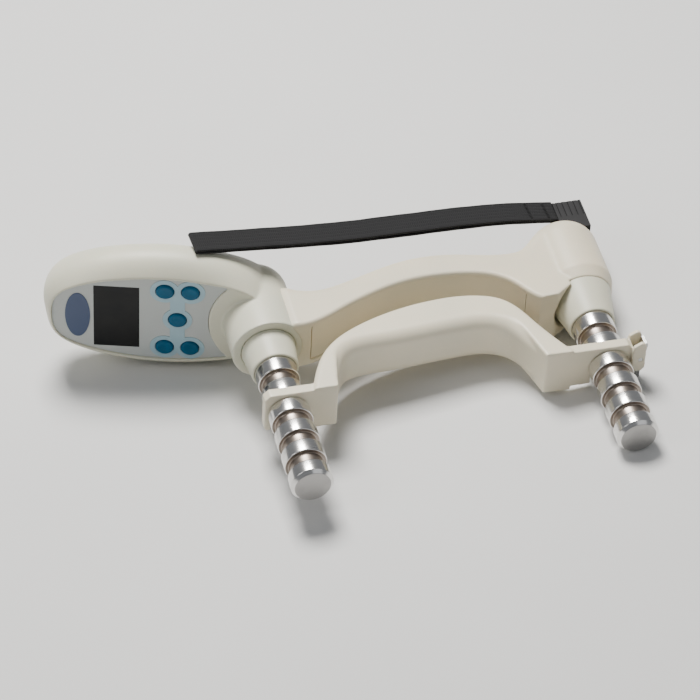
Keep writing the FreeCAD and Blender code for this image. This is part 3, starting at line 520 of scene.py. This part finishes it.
def tucked_end(p):
    """Let the handle's end run a little way into the upper boss, so that the joint is clean."""
    radius = math.hypot(p.x, p.z)
    near = 1 - ramp(radius, TUCK_FROM - TUCK_OVER, TUCK_FROM)
    pull = TUCK * near * near * (3 - 2 * near)
    return Vector((p.x * (1 - pull / radius), p.y, p.z * (1 - pull / radius)))


def make_shells():
    """The three large mouldings, each remeshed from its CAD node."""
    moulded("head_shell", "head_housing", PLASTIC_HEAD, "frame", voxel=0.5, passes=4,
            soft=neck_weight, soft_passes=60)
    moulded("grip_shell", "fixed_handle", PLASTIC_GRIP, "frame", voxel=0.5, passes=4,
            soft=grip_weight, soft_passes=50, shape=tucked_end)
    moulded("span_handle", "adjustable_handle", PLASTIC_SPAN, "handle", voxel=0.4, passes=5,
            soft=foot_weight, soft_passes=40)


# ------------------------------------------------------------------ posts and collars
LAND, GROOVE = 9.5, 7.6              # radii of a post: its bright lands, and its groove floors
GROOVES, GROOVE_PITCH, FIRST_GROOVE, HALF_GROOVE = 5, 12.7, 10.3, 2.8
POST_REACH, TIP_BEVEL = 71.5, 1.6
LAND_END, ROOT_RADIUS, ROOT_END, STUD_RADIUS, STUD_END = 6.0, 7.0, 24.0, 4.0, 38.0
LAND_SLOT, GROOVE_SLOT, TIP_SLOT = range(3)


def post_slot(start, end):
    """The material of one span of a post's profile: tip, groove or land."""
    if end[1] < -POST_REACH + 1.2:
        return TIP_SLOT
    return GROOVE_SLOT if max(start[0], end[0]) < LAND - 0.35 else LAND_SLOT


def make_post(name, node, x):
    """A turned post from its bevelled tip, past five grooves, to the stud inside the handle."""
    points = [(0.0, -POST_REACH), (LAND - TIP_BEVEL, -POST_REACH), (LAND, -POST_REACH + TIP_BEVEL)]
    for step in reversed(range(GROOVES)):
        centre = -FIRST_GROOVE - step * GROOVE_PITCH
        points += [(LAND, centre - HALF_GROOVE), (GROOVE, centre - HALF_GROOVE),
                   (GROOVE, centre + HALF_GROOVE), (LAND, centre + HALF_GROOVE)]
    points += [(LAND, LAND_END), (ROOT_RADIUS, LAND_END), (ROOT_RADIUS, ROOT_END),
               (STUD_RADIUS, ROOT_END), (STUD_RADIUS, STUD_END), (0.0, STUD_END)]
    post = lathe(name, rounded(points, 0.55, 5), LAY @ Matrix.Translation((x, 0, 0)),
                 [STEEL_LAND, STEEL_GROOVE, STEEL_TIP], segments=128, slot_of=post_slot)
    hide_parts(node)


def make_collar(name, node, x, wide, end, spigot):
    """A cone round the post's root, with a spigot that enters the boss at its wide end."""
    bore, narrow, root, seat = 9.55, 10.5, 7.4, 8.7
    rim, deep = end - 0.05, end + 3.8
    points = [(bore, seat), (bore, 0.0), (narrow, 0.0), (narrow + 0.25, 0.9), (wide - 0.1, end - 0.4),
              (wide, rim), (spigot, rim), (spigot, deep), (root, deep), (root, seat), (bore, seat)]
    collar = lathe(name, rounded(points, 0.5), LAY @ Matrix.Translation((x, 0, 0)), [PLASTIC_HEAD])
    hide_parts(node)


def make_posts():
    """Both posts and their collars."""
    make_post("post_upper", "upper_post", 0.0)
    make_post("post_lower", "lower_post", SPACING)
    make_collar("collar_upper", "upper_collar", 0.0, wide=12.3, end=14.0, spigot=12.2)
    make_collar("collar_lower", "lower_collar", SPACING, wide=14.1, end=18.0, spigot=12.0)


# ------------------------------------------------------------------ keys
KEYS = {"upper_left": (-17.0, 43.0), "lower_left": (-17.0, 31.6), "centre": (0.0, 37.3),
        "upper_right": (17.0, 43.0), "lower_right": (17.0, 31.6)}      # across and along the face
KEY_RADIUS, KEY_FLANGE, KEY_SHOULDER, KEY_FOOT = 4.1, 4.8, -1.9, -2.9


def make_keys():
    """Five domed keys with a shallow dish for the fingertip."""
    turn = Matrix.Rotation(math.radians(90), 4, "X")      # lathe axis Y to the face's normal
    dome = [(0.0, 0.98), (1.2, 1.0), (2.2, 1.12), (2.9, 1.2), (3.45, 1.12), (3.85, 0.85),
            (4.05, 0.45), (KEY_RADIUS, -0.2), (KEY_RADIUS, KEY_SHOULDER),
            (KEY_FLANGE, KEY_SHOULDER), (KEY_FLANGE, KEY_FOOT), (0.0, KEY_FOOT)]
    for name, (across, along) in KEYS.items():
        key = lathe("key_" + name, dome, LAY_FACE @ Matrix.Translation((across, along, 0)) @ turn,
                    [BLUE_KEY], "button_" + name + "_body", segments=64)
        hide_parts("button_" + name)


# ------------------------------------------------------------------ strap
STRAP_WIDTH, PLY = 12.7, 1.15        # of the webbing, and its thickness
PLY_OFFSET = PLY / 2 + 0.08          # from the strap's middle to the middle of a ply
PLY_SWELL = 0.25                     # how much further the plies stand apart half way along
INTO_ANCHOR = 1.4                    # the length of strap that is clamped in the anchor
FOLD_STEPS = 8
WEAVE_START = 50.0                   # keeps the UV map's u above 0 over the whole width
STRAP_ROUTE = [(145.9, 68.2, 8.3), (128.0, 66.7, 12.4), (106.0, 65.0, 15.6), (73.5, 62.4, 18.4),
               (42.0, 59.7, 21.4), (6.0, 56.1, 27.8), (-25.5, 54.0, 32.8)]
# a ply's upper side, as shares of half its width and half its thickness: rounded selvedges and
# slightly thicker edges
PLY_TOP = [(-1.0, 0.0), (-0.985, 0.62), (-0.95, 0.95), (-0.86, 1.0), (-0.8, 0.88), (-0.4, 0.9),
           (0.0, 0.9), (0.4, 0.9), (0.8, 0.88), (0.86, 1.0), (0.95, 0.95), (0.985, 0.62),
           (1.0, 0.0)]
# places of the stitch rows along the strap (a share of its length), and one stitch's half sizes
STITCH_ROWS, STITCHES, STITCH_PITCH, STITCH_HALF = (0.035, 0.085), 11, 0.95, (0.24, 0.75, 0.16)


def route_points(route):
    """Points read from a smooth NURBS line along the strap's route."""
    curve = bpy.data.curves.new("strap_line", "CURVE")
    curve.dimensions = "3D"
    curve.resolution_u = 16
    spline = curve.splines.new("NURBS")
    spline.points.add(len(route) - 1)
    for point, place in zip(spline.points, route):
        point.co = (*place, 1.0)
    spline.order_u = 3
    spline.use_endpoint_u = True
    line = linked("strap_line", curve)
    graph = bpy.context.evaluated_depsgraph_get()
    mesh = bpy.data.meshes.new_from_object(line.evaluated_get(graph))
    points = [v.co.copy() for v in mesh.vertices]
    bpy.data.objects.remove(line)
    bpy.data.curves.remove(curve)
    bpy.data.meshes.remove(mesh)
    return points


def strap_frames():
    """The strap's middle line: at each point its place, and its directions ahead, aside and up."""
    middle = route_points(STRAP_ROUTE)
    middle.insert(0, middle[0] + (middle[0] - middle[1]).normalized() * INTO_ANCHOR)
    frames = []
    for i, here in enumerate(middle):
        ahead = (middle[min(i + 1, len(middle) - 1)] - middle[max(i - 1, 0)]).normalized()
        side = Vector((-ahead.y, ahead.x, 0)).normalized()
        up = side.cross(ahead).normalized()
        if up.z < 0:
            up = -up
        frames.append((here, ahead, side, up))
    return frames


def folded_stations(frames):
    """Webbing folded back on itself: upper ply, tight fold at the head, lower ply. A station is
    the ply's centre, its thickness direction and its width direction."""
    upper, lower = [], []
    for i, (here, _, side, up) in enumerate(frames):
        part = PLY_OFFSET + PLY_SWELL * math.sin(math.pi * i / (len(frames) - 1)) ** 2
        upper.append((here + up * part, up, side))
        lower.append((here - up * part, -up, side))
    fold = []
    tip, ahead, side, up = frames[-1]
    for step in range(1, FOLD_STEPS):
        angle = math.pi * step / FOLD_STEPS
        facing = up * math.cos(angle) + ahead * math.sin(angle)
        fold.append((tip + facing * PLY_OFFSET, facing, side))
    return upper + fold + lower[::-1]


def webbing_mesh(stations):
    """The ply's section swept along the stations, and the length of its middle line."""
    half, thin = STRAP_WIDTH / 2, PLY / 2
    section = [(u * half, h * thin) for u, h in PLY_TOP]
    section += [(u, -h) for u, h in reversed(section[1:-1])]
    count = len(section)
    verts, faces, runs = [], [], []
    run = 0.0
    for i, (centre, thick, side) in enumerate(stations):
        if i:
            run += (centre - stations[i - 1][0]).length
        runs.append(run)
        # the tape never lies quite straight
        wobble = 0.06 * math.sin(run * 0.21) + 0.04 * math.sin(run * 0.47 + 1.0)
        for u, h in section:
            verts.append(centre + side * (u + wobble) + thick * h)
    for i in range(len(stations) - 1):
        for k in range(count):
            a, b = i * count + k, i * count + (k + 1) % count
            faces.append((a, b, b + count, a + count))
    last = (len(stations) - 1) * count
    faces += [tuple(range(count))[::-1], tuple(range(last, last + count))]
    mesh = mesh_from("strap", verts, faces)
    layer = mesh.uv_layers.new(name="weave")
    for loop in mesh.loops:
        station, k = divmod(loop.vertex_index, count)
        layer.data[loop.index].uv = (section[k][0] + WEAVE_START, runs[station])
    mesh.transform(LAY)
    outward(mesh)
    return mesh, run


def stitch_mesh(frames):
    """Two rows of stitches that hold the plies together beside the anchor."""
    half_wide, half_long, half_thick = STITCH_HALF
    bm = bmesh.new()
    for row in STITCH_ROWS:
        here, ahead, side, up = frames[int(row * (len(frames) - 1))]
        turn = Matrix((side, ahead, up)).transposed().to_4x4()
        for k in range(STITCHES):
            across = (k - STITCHES // 2) * STITCH_PITCH
            centre = here + side * across + up * (PLY_OFFSET + PLY / 2 + 0.24)
            made = bmesh.ops.create_uvsphere(bm, u_segments=10, v_segments=6, radius=1.0)["verts"]
            for vert in made:
                x, y, z = vert.co
                stitch = Vector((x * half_wide, y * half_long, z * half_thick))
                vert.co = centre + turn @ stitch
    mesh = bpy.data.meshes.new("strap_stitches")
    bm.to_mesh(mesh)
    bm.free()
    mesh.transform(LAY)
    return mesh


def make_strap():
    """The wrist strap, lying doubled from its anchor to the head, and its stitches."""
    frames = strap_frames()
    mesh, run = webbing_mesh(folded_stations(frames))
    strap = new_piece("strap", mesh, [WEB])
    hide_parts("wrist_strap")
    print("strap's cut length", round(run, 1))
    thread = new_piece("strap_stitches", stitch_mesh(frames), [THREAD])


# ------------------------------------------------------------------ floor, light, camera
LIGHTS = [("key", (-0.05, 0.50, 1.15), 0.50, 31.0, (1.0, 0.98, 0.95)),
          ("side", (-0.9, -0.2, 0.8), 0.5, 2.5, (1.0, 1.0, 1.0)),
          ("fill", (0.7, -1.1, 0.7), 0.9, 1.4, (0.95, 0.97, 1.0))]      # place, width, watts, colour
FLOOR_HALF = 3.0
SKY, SKY_STRENGTH = (0.92, 0.95, 1.0, 1), 0.24


def make_floor():
    """A plain pale floor."""
    corners = [(-FLOOR_HALF, -FLOOR_HALF, 0), (FLOOR_HALF, -FLOOR_HALF, 0),
               (FLOOR_HALF, FLOOR_HALF, 0), (-FLOOR_HALF, FLOOR_HALF, 0)]
    mesh = mesh_from("floor", corners, [(0, 1, 2, 3)])
    floor = linked("floor", mesh)
    made = material("floor")
    n = Nodes(made)
    n.colour(n.mix(n.spread(n.noise(6.0), 0.0, 1.0), (0.66, 0.66, 0.65), (0.69, 0.69, 0.68)))
    n.shader.inputs["Roughness"].default_value = 0.7
    mesh.materials.append(made)


def make_lights():
    """Soft studio light: a faint sky and three large lamps that look at the origin."""
    world = bpy.data.worlds.new("studio")
    bpy.context.scene.world = world
    world.use_nodes = True
    sky = world.node_tree.nodes["Background"]
    sky.inputs["Color"].default_value = SKY
    sky.inputs["Strength"].default_value = SKY_STRENGTH
    for name, place, width, power, colour in LIGHTS:
        data = bpy.data.lights.new(name, "AREA")
        data.size = width
        data.energy = power
        data.color = colour
        lamp = linked(name, data)
        lamp.location = place
        lamp.rotation_euler = (-Vector(place)).to_track_quat("-Z", "Y").to_euler()


def make_camera():
    """The viewer stands in front of the post tips, to their left, about 1.6 m away."""
    place = lay(-289.6, -1123.7, 1145.4)
    target = lay(35.5, 6.8, 0.0)
    up = (POSE.to_3x3() @ Vector((0.1315, 0.6596, 0.7400))).normalized()
    ahead = (target - place).normalized()
    right = ahead.cross(up).normalized()
    up = right.cross(ahead)
    data = bpy.data.cameras.new("camera")
    data.sensor_width = 36.0
    data.lens = 190.0
    data.clip_end = 20.0
    camera = linked("camera", data)
    turn = Matrix((right, up, -ahead)).transposed().to_4x4()
    camera.matrix_world = Matrix.Translation(place) @ turn
    bpy.context.scene.camera = camera


finish_cad_nodes()
make_shells()
make_posts()
make_keys()
make_strap()
make_floor()
make_lights()
make_camera()
